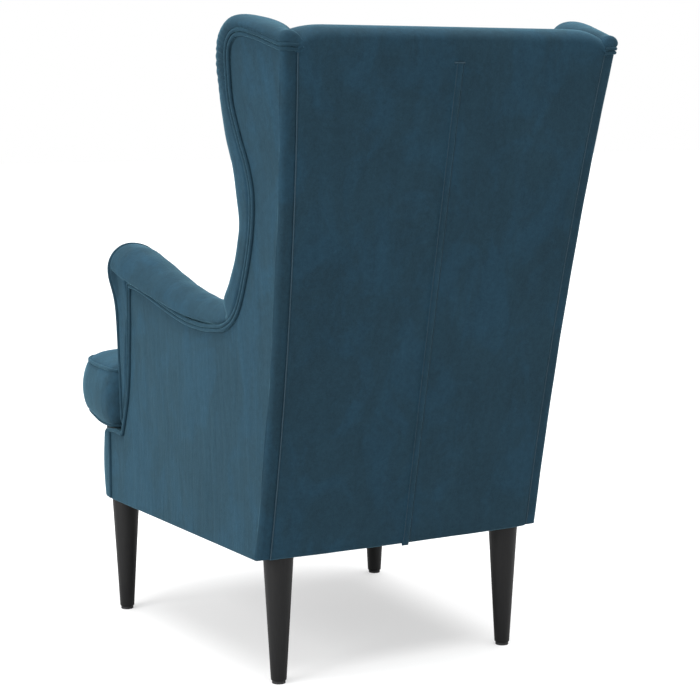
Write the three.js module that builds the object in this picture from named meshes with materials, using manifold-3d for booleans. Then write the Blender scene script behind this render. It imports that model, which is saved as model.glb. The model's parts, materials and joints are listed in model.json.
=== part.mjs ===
// Upholstered wing armchair: wooden seat and side frames, springs, webbing, padding, covers, a loose
// T-shaped seat cushion and a zip down the outside back.
// Millimetres, +Z up. The sitter faces -Y and +X is the sitter's left. While it is modelled, y = 0 is the
// centre line of the rear legs; at the end everything moves, so that the origin is the middle of the
// footprint.
import * as THREE from 'three';
import { mergeVertices } from 'three/addons/utils/BufferGeometryUtils.js';
import { LoftGeometry } from 'three/addons/geometries/LoftGeometry.js';
import Module from 'manifold-3d';

const wasm = await Module();
wasm.setup();

// ---- driving dimensions ----
const gap = 0.3;
const fit = 2 * gap;

const legLength = 206;
const legTopRadius = 23;
const legFootRadius = 11.8;
const glideHeight = 4;
const legSides = 20;
const rearLegX = 210;
const frontLegX = 256;
const frontLegY = -509;

const boltRadius = 4;
const boltSides = 10;
const boltHoleRadius = boltRadius + 2 * gap;
const boltBottom = 174;
const boltTop = 258;
const plateRadius = 17;
const plateThickness = 3;

const baseBottom = legLength;
const railBottom = 210;
const railTop = 318;
const deckThickness = 6;
const deckBottom = railTop + 5.4;
const deckTop = deckBottom + deckThickness;
const padBottom = deckTop + gap;

const backFootY = 27;
const backRake = 0.2021;
const backTop = 1027;
const backCoverTop = 1001;
const backBulge = 6;
const coverThickness = 8;
const padFar = 42;
const rearReturn = 23;

const frameThickness = 21.7;
const sideRailThickness = 22;
const innerArmX = 217;
const wingDepth = 68;
const armTopLevel = 600;
const wingFullLevel = 760;
const backPadGap = 5;

const frontRailFrontY = -532;
const frontRailRearY = -497;
const rearRailFrontY = -11;
const rearRailRearY = 13;
const borderFrontY = -555;
const borderSideY = -497;
const borderRadius = 40;

const cushionBottom = deckTop + gap;
const cushionWelt = 430;
const cushionCrown = 466;
const cushionFrontY = -660;
const cushionRearY = -138;
const cushionEarX = 284;
const cushionEarRearY = -486;
const cushionEarRadius = 66;
const cushionBulge = 12;

// ---- colours ----
const velvet = { color: 0x315065, roughness: 0.85, metalness: 0 };
const velvetDark = { color: 0x263f4e, roughness: 0.88, metalness: 0 };
const timber = { color: 0xb98f5e, roughness: 0.7, metalness: 0 };
const plywood = { color: 0xcaa77a, roughness: 0.7, metalness: 0 };
const foam = { color: 0xe6dcb8, roughness: 0.95, metalness: 0 };
const steel = { color: 0x9a9da0, roughness: 0.35, metalness: 0.9 };
const blackWood = { color: 0x1b1b1c, roughness: 0.4, metalness: 0 };
const blackCloth = { color: 0x202124, roughness: 0.95, metalness: 0 };
const nylon = { color: 0x2a2a2c, roughness: 0.5, metalness: 0 };

const group = new THREE.Group();

// ---- solids ----
function merged(geometry) {
  const bare = new THREE.BufferGeometry();
  bare.setAttribute('position', geometry.attributes.position.clone());
  if (geometry.index) {
    bare.setIndex(geometry.index.clone());
  }
  return mergeVertices(bare, 1e-3);
}

function toSolid(geometry) {
  const clean = merged(geometry);
  const vertProperties = new Float32Array(clean.attributes.position.array);
  const triVerts = new Uint32Array(clean.index.array);
  return new wasm.Manifold(new wasm.Mesh({ numProp: 3, vertProperties, triVerts }));
}

function toGeometry(solid) {
  const mesh = solid.getMesh();
  const geometry = new THREE.BufferGeometry();
  geometry.setAttribute('position', new THREE.BufferAttribute(mesh.vertProperties, 3));
  geometry.setIndex(new THREE.BufferAttribute(mesh.triVerts, 1));
  return geometry;
}

function meet(a, b) {
  return toGeometry(toSolid(a).intersect(toSolid(b)));
}

function join(a, b) {
  return toGeometry(toSolid(a).add(toSolid(b)));
}

function cut(a, ...tools) {
  let solid = toSolid(a);
  for (const tool of tools) {
    solid = solid.subtract(toSolid(tool));
  }
  return toGeometry(solid);
}

function turnedOut(geometry) {
  const position = geometry.attributes.position;
  const index = geometry.index;
  const a = new THREE.Vector3();
  const b = new THREE.Vector3();
  const c = new THREE.Vector3();
  let volume = 0;
  for (let i = 0; i < index.count; i += 3) {
    a.fromBufferAttribute(position, index.getX(i));
    b.fromBufferAttribute(position, index.getX(i + 1));
    c.fromBufferAttribute(position, index.getX(i + 2));
    volume += a.dot(b.cross(c));
  }
  return volume > 0 ? geometry : flipped(geometry);
}

function flipped(geometry) {
  const index = geometry.index;
  for (let i = 0; i < index.count; i += 3) {
    const second = index.getX(i + 1);
    index.setX(i + 1, index.getX(i + 2));
    index.setX(i + 2, second);
  }
  return geometry;
}

function mirrored(geometry) {
  return flipped(merged(geometry).scale(-1, 1, 1));
}

function place(name, geometry, look) {
  const flat = merged(geometry).toNonIndexed();
  flat.computeVertexNormals();
  const mesh = new THREE.Mesh(flat, new THREE.MeshStandardMaterial(look));
  mesh.name = name;
  group.add(mesh);
  return mesh;
}

function placePair(name, geometry, look) {
  place(`${name}_left`, geometry, look);
  place(`${name}_right`, mirrored(geometry), look);
}

function box(x0, x1, y0, y1, z0, z1) {
  const geometry = new THREE.BoxGeometry(x1 - x0, y1 - y0, z1 - z0);
  return geometry.translate((x0 + x1) / 2, (y0 + y1) / 2, (z0 + z1) / 2);
}

function post(radius, z0, z1, x, y, sides, footRadius = radius) {
  const geometry = new THREE.CylinderGeometry(radius, footRadius, z1 - z0, sides);
  return geometry.rotateX(Math.PI / 2).translate(x, y, (z0 + z1) / 2);
}

// a plan outline of (x, y) points raised from z0 to z1
function raised(points, z0, z1) {
  const shape = new THREE.Shape(points.map(([x, y]) => new THREE.Vector2(x, y)));
  const geometry = new THREE.ExtrudeGeometry(shape, { depth: z1 - z0, bevelEnabled: false });
  return geometry.translate(0, 0, z0);
}

// a side outline of (y, z) points swept across the chair from x0 to x1
function swept(points, x0, x1) {
  const shape = new THREE.Shape(points.map(([y, z]) => new THREE.Vector2(y, z)));
  const geometry = new THREE.ExtrudeGeometry(shape, { depth: x1 - x0, bevelEnabled: false });
  const axes = new THREE.Matrix4().makeBasis(
    new THREE.Vector3(0, 1, 0), new THREE.Vector3(0, 0, 1), new THREE.Vector3(1, 0, 0));
  return geometry.applyMatrix4(axes).translate(x0, 0, 0);
}

function lofted(sections) {
  return turnedOut(merged(new LoftGeometry(sections, { capStart: true, capEnd: true })));
}

// ---- the surfaces that the covers follow ----
function backY(z) {
  return backFootY + backRake * (z - baseBottom);
}

// outside face of the left side: tapers in towards the back, leans out with height and flares at the wing
function sideX(y, z) {
  const plan = 259.6 + 0.0544 * (22 - y);
  const lean = 6.68e-5 * Math.max(0, z - baseBottom) ** 2;
  const flare = 6.35e-7 * Math.max(0, backY(z) - y) * Math.max(0, z - 514) ** 2;
  return plan + lean + flare;
}

// inside face of the left arm and wing, the one towards the sitter
function innerX(y, z) {
  const blend = THREE.MathUtils.smoothstep(z, armTopLevel, wingFullLevel);
  return THREE.MathUtils.lerp(innerArmX, sideX(y, z) - wingDepth, blend);
}

// a block between two faces x = near(y, z) and x = far(y, z). All of them share one grid, so that faces
// a constant distance apart stay parallel
const gridY = [-560, 240];
const gridZ = [190, 1070];
const gridColumns = 5;
const gridRows = 11;

function layer(near, far) {
  const geometry = new THREE.BoxGeometry(
    1, gridY[1] - gridY[0], gridZ[1] - gridZ[0], 1, gridColumns, gridRows);
  geometry.translate(0.5, (gridY[0] + gridY[1]) / 2, (gridZ[0] + gridZ[1]) / 2);
  const position = geometry.attributes.position;
  for (let i = 0; i < position.count; i += 1) {
    const y = position.getY(i);
    const z = position.getZ(i);
    position.setX(i, position.getX(i) < 0.5 ? near(y, z) : far(y, z));
  }
  // the near face takes the diagonals of the far face, so that both bend alike
  const nearFace = geometry.groups[1];
  const index = geometry.index.array;
  for (let i = nearFace.start; i < nearFace.start + nearFace.count; i += 6) {
    const [a, b, d, , c] = index.slice(i, i + 6);
    index.set([a, b, c, a, c, d], i);
  }
  return geometry;
}

function sideLayer(outerDepth, innerDepth) {
  return layer((y, z) => sideX(y, z) - innerDepth, (y, z) => sideX(y, z) - outerDepth);
}

// ---- edge of the wing and arm, from the top of the back round to the seat ----
// each station runs from the welt of the side panel out to the front of the roll: y, z, y, z
const wingStations = [
  [176, 995, 172, 1018], [163, 1000, 153, 1023], [130, 1010, 116, 1033], [101, 1016, 84, 1041],
  [80, 1016, 58, 1042], [62, 1007, 34, 1027], [49, 988, 15, 1000], [40, 955, 0, 965],
  [34, 907, -9, 911], [41, 856, -12, 856], [53, 812, -3, 806], [57, 772, -2, 760],
  [48, 724, -6, 716], [31, 676, -25, 672], [9, 624, -47, 634], [-19, 586, -80, 605],
];
const armStations = [
  [-48, 566, -122, 597], [-84, 555, -136, 597], [-126, 550, -154, 600], [-178, 550, -188, 604],
  [-232, 557, -238, 616], [-290, 567, -296, 631], [-347, 580, -354, 647], [-382, 589, -404, 660],
  [-391, 584, -440, 657], [-396, 576, -459, 640],
];
const facingStations = [
  [-399, 560, -468, 606], [-404, 528, -471, 540], [-411, 484, -471, 484], [-419, 423, -469, 423],
  [-427, 385, -466, 385], [-440, 346, -460, 346], [-446, padBottom, -457, padBottom],
];

const stations = [...wingStations, ...armStations, ...facingStations];

// the point of the welt at a station, moved back from the roll by an inset
function inwards([y0, z0, y1, z1], inset) {
  const move = new THREE.Vector2(y0 - y1, z0 - z1).setLength(inset);
  return [y0 + move.x, z0 + move.y];
}

// the outline of the side panel: the welt, then the front of the base, the base and the back edge
function sideOutline(inset, rearInset, bottom, frontY) {
  const inside = stations.map((station) => inwards(station, inset))
    .map(([y, z]) => [Math.min(y, backY(z) - rearInset), z]);
  const last = inside[inside.length - 1];
  return [
    ...inside,
    [last[0], padBottom - inset],
    [frontY, padBottom - inset],
    [frontY, bottom],
    [backY(bottom) - rearInset, bottom],
    [backY(inside[0][1]) - rearInset, inside[0][1] - 1],
  ];
}

// one cross-section of the roll: flat where it leaves the welt, then a round nose
const noseSteps = 8;

function rollSection([y0, z0, y1, z1], overhang) {
  const start = new THREE.Vector2(y0, z0);
  const along = new THREE.Vector2(y1 - y0, z1 - z0);
  const reach = along.length();
  along.normalize();
  const outer = (u) => {
    const p = start.clone().addScaledVector(along, u);
    return new THREE.Vector3(sideX(p.x, p.y) + overhang, p.x, p.y);
  };
  const inner = (u) => {
    const p = start.clone().addScaledVector(along, u);
    return new THREE.Vector3(innerX(p.x, p.y), p.x, p.y);
  };
  const width = outer(0).x - inner(0).x;
  const nose = Math.min(reach - 2 * gap, width / 2);
  const section = [outer(gap)];
  for (let i = 0; i <= noseSteps; i += 1) {
    const angle = Math.PI * i / noseSteps;
    const u = reach - nose + nose * Math.sin(angle);
    const side = outer(u).lerp(inner(u), (1 - Math.cos(angle)) / 2);
    section.push(side);
  }
  section.push(inner(gap));
  return section;
}

function roll(stations, overhangs) {
  const [from, to] = overhangs;
  const last = stations.length - 1;
  const sections = stations.map((station, i) => (
    rollSection(station, THREE.MathUtils.lerp(from, to, i / last))));
  return lofted(sections);
}

// a station moved a little along the roll, so that two rolls that meet keep a gap
function parted(station, next) {
  const share = 0.04;
  return station.map((value, i) => THREE.MathUtils.lerp(value, next[i], share));
}

// ---- legs, glides, bolts and plates ----
const legPlaces = {
  rear_left: [rearLegX, 0],
  rear_right: [-rearLegX, 0],
  front_left: [frontLegX, frontLegY],
  front_right: [-frontLegX, frontLegY],
};

function legs() {
  for (const [where, [x, y]] of Object.entries(legPlaces)) {
    const profile = [
      [0, glideHeight + gap], [legFootRadius - 1, glideHeight + gap], [legFootRadius, glideHeight + 1.5],
      [legTopRadius, legLength - 3], [legTopRadius - 1, legLength - gap], [0, legLength - gap],
    ].map(([r, z]) => new THREE.Vector2(r, z));
    const turned = new THREE.LatheGeometry(profile, legSides).rotateX(Math.PI / 2).translate(x, y, 0);
    const boltHole = post(boltHoleRadius, boltBottom - 1, legLength + 1, x, y, boltSides);
    const bored = cut(turnedOut(merged(turned)), boltHole);
    place(`leg_${where}`, bored, blackWood);
    place(`glide_${where}`, post(legFootRadius - 1, 0, glideHeight, x, y, legSides), nylon);
    place(`leg_bolt_${where}`, post(boltRadius, boltBottom, boltTop, x, y, boltSides), steel);
    const plate = cut(
      post(plateRadius, legLength, legLength + plateThickness, x, y, legSides),
      post(boltHoleRadius, legLength - 1, legLength + 2 * plateThickness, x, y, boltSides));
    place(`leg_plate_${where}`, plate, steel);
  }
}

// ---- seat frame ----
function seatFrame() {
  const bore = (x, y) => post(boltHoleRadius, railBottom - 1, boltTop + 1, x, y, boltSides);
  const frontLength = sideX(frontRailFrontY, baseBottom) - coverThickness - fit;
  const front = cut(
    box(-frontLength, frontLength, frontRailFrontY, frontRailRearY, railBottom, railTop),
    bore(frontLegX, frontLegY), bore(-frontLegX, frontLegY));
  place('seat_rail_front', front, timber);

  const inFrame = coverThickness + gap + frameThickness + gap;
  const rearLength = sideX(rearRailRearY, baseBottom) - inFrame - fit;
  const rear = cut(
    box(-rearLength, rearLength, rearRailFrontY, rearRailRearY, railBottom, railTop),
    bore(rearLegX, 0), bore(-rearLegX, 0));
  place('seat_rail_rear', rear, timber);

  const sideRail = meet(
    sideLayer(inFrame, inFrame + sideRailThickness),
    swept([
      [frontRailRearY + gap, railBottom], [rearRailFrontY - gap, railBottom],
      [rearRailFrontY - gap, railTop], [frontRailRearY + gap, railTop],
    ], 0, 400));
  placePair('seat_rail', sideRail, timber);

  const blockSide = 62;
  const blockTop = railTop - 38;
  const innerFace = (y) => sideX(y, baseBottom) - inFrame - sideRailThickness - fit;
  const frontX = innerFace(frontRailRearY + blockSide);
  const frontY = frontRailRearY + gap;
  placePair('corner_block_front', raised(
    [[frontX, frontY], [frontX, frontY + blockSide], [frontX - blockSide, frontY]],
    railBottom, blockTop), timber);
  const rearX = innerFace(rearRailFrontY);
  const rearY = rearRailFrontY - gap;
  placePair('corner_block_rear', raised(
    [[rearX, rearY], [rearX - blockSide, rearY], [rearX, rearY - blockSide]],
    railBottom, blockTop), timber);
}

// ---- sinuous springs: a zigzag wire laid from the rear rail to the front rail ----
function springs() {
  const wireRadius = 1.9;
  const wireSides = 6;
  const halfWaves = 16;
  const waveWidth = 21;
  const startY = rearRailFrontY + 6;
  const endY = frontRailRearY - 6;
  const level = railTop + gap + wireRadius;
  const wire = new THREE.Shape();
  wire.absarc(0, 0, wireRadius, 0, 2 * Math.PI);
  for (let n = 0; n < 4; n += 1) {
    const x = (n - 1.5) * 108;
    const points = [];
    for (let i = 0; i <= halfWaves; i += 1) {
      const y = THREE.MathUtils.lerp(startY, endY, i / halfWaves);
      const side = i % 2 === 0 ? -1 : 1;
      points.push(new THREE.Vector3(x + side * waveWidth, y, level));
    }
    const route = new THREE.CatmullRomCurve3(points);
    const steps = halfWaves * 3;
    const options = { steps, extrudePath: route, bevelEnabled: false, curveSegments: wireSides };
    const geometry = new THREE.ExtrudeGeometry(wire, options);
    place(`seat_spring_${n + 1}`, turnedOut(merged(geometry)), steel);
  }
}

// ---- deck over the springs, front border and dust cover ----
function arcPoints(cx, cy, radius, from, to, steps) {
  const points = [];
  for (let i = 0; i <= steps; i += 1) {
    const angle = THREE.MathUtils.degToRad(THREE.MathUtils.lerp(from, to, i / steps));
    points.push([cx + radius * Math.cos(angle), cy + radius * Math.sin(angle)]);
  }
  return points;
}

function bothSides(half) {
  const other = half.map(([x, y]) => [-x, y]).reverse();
  return [...half, ...other];
}

function borderOutline(inset) {
  const x = sideX(borderSideY, baseBottom) - inset;
  const front = borderFrontY + inset;
  const radius = borderRadius - inset;
  return bothSides([
    [x, borderSideY - gap],
    ...arcPoints(x - radius, front + radius, radius, 0, -90, 5),
  ]);
}

function baseCovers() {
  const railX = sideX(frontRailFrontY, baseBottom) - coverThickness;
  const border = cut(
    raised(borderOutline(0), baseBottom, deckBottom - gap),
    box(-railX, railX, frontRailFrontY - gap, borderSideY + 1, baseBottom - 1, deckTop));
  place('front_border', border, velvet);

  const sideDepth = coverThickness + gap + frameThickness + fit;
  const rearX = sideX(0, baseBottom) - sideDepth;
  const bendX = sideX(borderSideY, baseBottom) - sideDepth;
  const frontOutline = borderOutline(2).filter(([x]) => x > 0);
  const deck = raised(bothSides([
    [rearX, backY(deckTop) - padFar],
    [bendX, borderSideY],
    ...frontOutline,
  ]), deckBottom, deckTop);
  place('seat_deck', deck, velvetDark);

  // the cloth is notched at its corners, where the legs stand
  const clothTop = railBottom - gap;
  const clear = legTopRadius + 3;
  const edgeX = (y) => sideX(y, baseBottom) - coverThickness - fit;
  const cloth = raised(bothSides([
    [rearLegX - clear, backFootY - coverThickness - fit], [rearLegX - clear, -clear],
    [edgeX(-clear), -clear], [edgeX(frontLegY + clear), frontLegY + clear],
    [frontLegX - clear, frontLegY + clear], [frontLegX - clear, frontRailFrontY],
  ]), clothTop - 2, clothTop);
  place('dust_cover', cloth, blackCloth);
}

// ---- sides: frame, outside cover, inside pads and rolls ----
function sides() {
  const across = 420;
  const frameOutline = sideOutline(3, coverThickness + fit, railBottom, frontRailRearY + gap);
  const frame = meet(
    sideLayer(coverThickness + gap, coverThickness + gap + frameThickness),
    swept(frameOutline, 0, across));
  placePair('side_frame', frame, plywood);

  const skinOutline = sideOutline(gap, 0, baseBottom, borderSideY);
  const skin = meet(sideLayer(0, coverThickness), swept(skinOutline, 0, across));
  const top = stations[0][1] - 1;
  const rearBand = [
    [backY(baseBottom) - coverThickness, baseBottom], [backY(baseBottom), baseBottom],
    [backY(top), top], [backY(top) - coverThickness, top],
  ];
  const wrap = meet(sideLayer(0, rearReturn), swept(rearBand, 0, across));
  placePair('side_panel', join(skin, wrap), velvet);

  const padDepth = coverThickness + gap + frameThickness + gap;
  const padLayer = layer(innerX, (y, z) => sideX(y, z) - padDepth);
  const padRear = (z) => [backY(z) - padFar, z];
  const split = 542;
  const armWelt = [...armStations.slice(1), ...facingStations].map((station) => inwards(station, 2))
    .map(([y, z]) => [y, Math.max(z, padBottom)]);
  const armOutline = [padRear(split), [armWelt[0][0], split], ...armWelt, padRear(padBottom)];
  placePair('inside_arm_pad', meet(padLayer, swept(armOutline, 0, across)), foam);

  const wingWelt = [...wingStations, armStations[0]].map((station) => inwards(station, 2))
    .filter(([y, z]) => y < backY(z) - padFar - 6);
  const wingOutline = [
    padRear(wingWelt[0][1] - 10), ...wingWelt, [armStations[0][0], split + fit], padRear(split + fit),
  ];
  placePair('inside_wing_pad', meet(padLayer, swept(wingOutline, 0, across)), foam);

  const firstArm = parted(armStations[0], armStations[1]);
  const lastArm = armStations[armStations.length - 1];
  const wingEnd = parted(armStations[0], wingStations[wingStations.length - 1]);
  placePair('wing_roll', roll([...wingStations, wingEnd], [1, 4]), velvet);
  placePair('arm_roll', roll([firstArm, ...armStations.slice(1)], [4, 9]), velvet);
  placePair('arm_facing', roll([parted(lastArm, facingStations[0]), ...facingStations], [9, 1]), velvet);
}

// ---- back: rails, webbing, pads, covers and zip ----
// a bar across the back, lying between two depths in front of the outside back
function backBar(z0, z1, nearDepth, farDepth, halfWidth) {
  return swept([
    [backY(z0) - farDepth, z0], [backY(z0) - nearDepth, z0],
    [backY(z1) - nearDepth, z1], [backY(z1) - farDepth, z1],
  ], -halfWidth, halfWidth);
}

function back() {
  const railNear = coverThickness + fit;
  const railFar = railNear + 24;
  const bars = { back_rail_lower: [350, 420], back_rail_middle: [600, 660], back_rail_top: [925, 985] };
  const inFrame = coverThickness + gap + frameThickness + gap;
  for (const [name, [z0, z1]] of Object.entries(bars)) {
    const reach = sideX(backY(z0) - railNear, z0) - inFrame - fit;
    place(name, backBar(z0, z1, railNear, railFar, reach), timber);
  }
  for (let n = 0; n < 3; n += 1) {
    const strap = backBar(355, 980, railFar + gap, railFar + gap + 2.5, 30).translate((n - 1) * 125, 0, 0);
    place(`back_webbing_${n + 1}`, strap, blackCloth);
  }

  const frontFace = (z) => -129 + 0.272 * (z - padBottom);
  const profile = [
    [frontFace(padBottom), padBottom], [backY(padBottom) - padFar, padBottom],
    [backY(backCoverTop) - padFar, backCoverTop + gap], [backY(backCoverTop) + 1, backCoverTop + gap],
    [backY(backCoverTop) - 2, backTop - 12], [backY(backCoverTop) - 14, backTop - 3],
    [backY(backCoverTop) - 34, backTop], [110, backTop], [76, backTop - 10], [56, backTop - 34],
    [frontFace(950), 950],
  ];
  const padLayer = layer((y, z) => backPadGap - innerX(y, z), (y, z) => innerX(y, z) - backPadGap);
  place('inside_back_pad', meet(padLayer, swept(profile, -400, 400)), foam);

  const slot = 7.2;
  placePair('outside_back', coverHalf(slot), velvetDark);
  zip(slot);
}

// half of the outside back: flat at the side seam and bulging slightly towards the middle
function coverHalf(slot) {
  const height = backCoverTop - baseBottom;
  const geometry = new THREE.BoxGeometry(1, 1, height, 4, 1, 6);
  geometry.translate(0.5, 0.5, baseBottom + height / 2);
  const position = geometry.attributes.position;
  for (let i = 0; i < position.count; i += 1) {
    const z = position.getZ(i);
    const seam = sideX(backY(z), z) - rearReturn - fit;
    const x = THREE.MathUtils.lerp(slot, seam, position.getX(i));
    const bulge = backBulge * (1 - ((x - slot) / (seam - slot)) ** 2);
    const inward = position.getY(i) < 0.5 ? coverThickness : 0;
    position.setX(i, x);
    position.setY(i, backY(z) + bulge - inward);
  }
  return geometry;
}

function zip(slot) {
  const zipTop = 965;
  const tapeDepth = coverThickness - backBulge;
  const bar = (z0, z1, near, far, x0, x1) => swept([
    [backY(z0) - far, z0], [backY(z0) - near, z0], [backY(z1) - near, z1], [backY(z1) - far, z1],
  ], x0, x1);
  placePair('zip_tape', bar(baseBottom, zipTop, tapeDepth - 1.6, tapeDepth, gap, slot - fit), blackCloth);
  const flapNear = -backBulge - 0.8;
  place('placket_flap', bar(
    baseBottom, zipTop, flapNear, flapNear + 2, -(slot - fit), slot - fit), velvetDark);
  const fill = bar(zipTop + fit, backCoverTop, -backBulge, tapeDepth, -(slot - fit), slot - fit);
  place('placket_end', fill, velvetDark);
  const slider = bar(baseBottom - 6, baseBottom + 11, -backBulge + 2, tapeDepth - 2.4, -4, 4);
  place('zip_slider', slider, steel);
}

// ---- loose seat cushion ----
function cushionPlan(spread, squeeze) {
  const r = cushionEarRadius;
  const x = cushionEarX;
  const inner = innerArmX - 1.5;
  const half = [
    [0, cushionFrontY],
    ...arcPoints(x - r, cushionFrontY + r, r, -90, 0, 5),
    ...arcPoints(x - 14, cushionEarRearY - 14, 14, 0, 90, 2),
    [inner, cushionEarRearY], [inner - 0.5, cushionRearY + 10], [inner - 10, cushionRearY],
  ];
  const middleY = (cushionFrontY + cushionRearY) / 2;
  const outline = [...half, ...half.slice(1).map(([px, py]) => [-px, py]).reverse()];
  return outline.map(([px, py]) => {
    const front = py < cushionEarRearY + 1 && Math.abs(px) > inner ? spread : 0;
    const forward = py < cushionFrontY + r ? spread : 0;
    const sx = px + Math.sign(px) * front;
    const sy = py - forward * (cushionEarRearY - py) / (cushionEarRearY - cushionFrontY);
    return [sx * squeeze, middleY + (sy - middleY) * squeeze];
  });
}

function seatCushion() {
  const levels = [
    [cushionBottom, 0, 0.985], [cushionBottom + 8, 2, 1],
    [(cushionBottom + cushionWelt) / 2, cushionBulge, 1], [cushionWelt - 4, 2, 1],
    [cushionWelt + 6, 0, 0.975], [cushionWelt + 22, 0, 0.86], [cushionCrown, 0, 0.6],
  ];
  const sections = levels.map(([z, spread, squeeze]) => (
    cushionPlan(spread, squeeze).map(([x, y]) => new THREE.Vector3(x, y, z))));
  place('seat_cushion', lofted(sections), velvet);
}

legs();
seatFrame();
springs();
baseCovers();
sides();
back();
seatCushion();

// the origin goes to the middle of the footprint, at floor level
const middle = new THREE.Box3().setFromObject(group).getCenter(new THREE.Vector3());
for (const mesh of group.children) {
  mesh.position.set(0, -middle.y, 0);
}

export default group;
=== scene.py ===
import json
import math
import bpy
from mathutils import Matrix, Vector, noise
from mathutils.bvhtree import BVHTree
from mathutils.kdtree import KDTree


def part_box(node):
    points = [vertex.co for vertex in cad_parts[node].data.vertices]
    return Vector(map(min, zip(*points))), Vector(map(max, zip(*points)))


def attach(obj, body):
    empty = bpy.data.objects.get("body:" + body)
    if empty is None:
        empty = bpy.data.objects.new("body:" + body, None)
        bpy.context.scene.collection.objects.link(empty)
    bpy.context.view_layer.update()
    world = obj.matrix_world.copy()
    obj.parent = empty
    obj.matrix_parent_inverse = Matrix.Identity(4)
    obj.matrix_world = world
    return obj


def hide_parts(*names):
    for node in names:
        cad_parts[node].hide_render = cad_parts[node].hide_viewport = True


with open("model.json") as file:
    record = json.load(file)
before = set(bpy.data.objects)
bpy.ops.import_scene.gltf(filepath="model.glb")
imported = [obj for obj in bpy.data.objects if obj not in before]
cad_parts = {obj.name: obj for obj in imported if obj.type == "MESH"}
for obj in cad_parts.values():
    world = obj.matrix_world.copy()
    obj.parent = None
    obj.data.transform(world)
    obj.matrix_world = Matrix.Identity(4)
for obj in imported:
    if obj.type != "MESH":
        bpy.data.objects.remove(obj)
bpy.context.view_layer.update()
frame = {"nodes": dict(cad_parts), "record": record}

scene = bpy.context.scene
CHAIR, CUSHION, ZIP = "chair", "seat_cushion", "zip_slider"
SIDES = {"left": 1, "right": -1}

# ---- sizes, in metres, worked out from the frame ----
LEG_LO, LEG_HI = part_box("leg_rear_left")
LEG_LINE = (LEG_LO.y + LEG_HI.y) / 2
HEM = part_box("side_panel_left")[0].z
DECK_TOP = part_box("seat_deck")[1].z
BACK_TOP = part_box("inside_back_pad")[1].z
PLACKET_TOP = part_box("placket_flap")[1].z
CUSHION_LO, CUSHION_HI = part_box("seat_cushion")
BORDER_LO, BORDER_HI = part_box("front_border")
ARM_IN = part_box("inside_arm_pad_left")[0].x
ARM_COVER_IN = ARM_IN - 0.003
WING_THICKNESS = 0.068
BACK_RAKE = 0.2021
BACK_FOOT = LEG_LINE + 0.027
CLOTH = 0.003
WELT = 0.0030
WELT_APART = 0.0064
FOLD = 0.009
REAR_STRIP = 0.0235
BULGE = 0.006
TOP_ROUNDING = 0.034
TOP_SEAM = BACK_TOP - TOP_ROUNDING - 0.002
UNDER_COVER = 0.0075
BORDER_JOINT = -0.4975


# ---- the surfaces that the covers follow ----
def back_y(z):
    """The outside back at its side seams."""
    return BACK_FOOT + BACK_RAKE * (z - HEM)


def side_x(y, z):
    """The outside face of a side: narrower at the back, leaning out with height, flared at the wing."""
    plan = 0.2596 + 0.0544 * (0.022 - (y - LEG_LINE))
    lean = 0.0668 * max(0.0, z - HEM) ** 2
    flare = 0.635 * max(0.0, back_y(z) - y) * max(0.0, z - 0.514) ** 2
    return plan + lean + flare


def inner_x(y, z):
    """The inside face of an arm or a wing, the one towards the sitter."""
    t = ease((z - 0.600) / 0.160)
    return ARM_IN * (1 - t) + (side_x(y, z) - WING_THICKNESS) * t


def seam_x(z):
    """Half the distance between the two side seams of the outside back."""
    return side_x(back_y(z), z) - REAR_STRIP


def soft(place, size, depth):
    """A gentle unevenness of padded cloth, up to about the given depth."""
    return depth * noise.noise(place / size)


def ease(t):
    """A smooth step from 0 to 1, flat at both ends."""
    t = min(1.0, max(0.0, t))
    return t * t * (3 - 2 * t)


def mix(a, b, t):
    return a + (b - a) * t


# ---- small modelling helpers ----
def deselect():
    if bpy.context.object and bpy.context.object.mode != "OBJECT":
        bpy.ops.object.mode_set(mode="OBJECT")
    bpy.ops.object.select_all(action="DESELECT")


def only(piece):
    deselect()
    piece.select_set(True)
    bpy.context.view_layer.objects.active = piece


def edit(piece):
    """Edit mode with every point selected."""
    only(piece)
    bpy.ops.object.mode_set(mode="EDIT")
    bpy.ops.mesh.select_mode(type="VERT")
    bpy.ops.mesh.select_all(action="SELECT")


def out():
    bpy.ops.object.mode_set(mode="OBJECT")


def modifier(piece, kind, **settings):
    """Adds a modifier, sets it and applies it."""
    only(piece)
    mod = piece.modifiers.new(kind.title(), kind)
    for name, value in settings.items():
        setattr(mod, name, value)
    bpy.ops.object.modifier_apply(modifier=mod.name)


def refine(piece, levels=1):
    modifier(piece, "SUBSURF", levels=levels, render_levels=levels)


def faced_out(piece):
    edit(piece)
    bpy.ops.mesh.remove_doubles(threshold=1e-5)
    bpy.ops.mesh.normals_make_consistent(inside=False)
    out()


def lay(name, rows, around=False):
    """A grid of cells laid over rows of places. around joins each row's end to its start."""
    wide = len(rows[0]) if around else len(rows[0]) - 1
    high = len(rows) - 1
    deselect()
    bpy.ops.mesh.primitive_grid_add(x_subdivisions=wide, y_subdivisions=high, size=1)
    piece = bpy.context.object
    piece.name = name
    piece.data.name = name
    for v in piece.data.vertices:
        column = round((v.co.x + 0.5) * wide)
        row = round((v.co.y + 0.5) * high)
        v.co = rows[row][column % len(rows[0])]
    return piece


def capped(rows):
    """The rows of a tube-like piece with a pole added at each end, so that the ends close."""
    def pole(row):
        middle = sum(row, Vector()) / len(row)
        return [middle] * len(row)
    return [pole(rows[0])] + rows + [pole(rows[-1])]


def thickened(piece, thickness=CLOTH, outwards=None):
    """Gives a sheet its thickness, to the inside of its outer face."""
    faced_out(piece)
    if outwards is not None:
        middle = piece.data.polygons[len(piece.data.polygons) // 2]
        if middle.normal.dot(outwards) < 0:
            edit(piece)
            bpy.ops.mesh.flip_normals()
            out()
    modifier(piece, "SOLIDIFY", thickness=thickness, offset=-1, use_even_offset=False)


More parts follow.
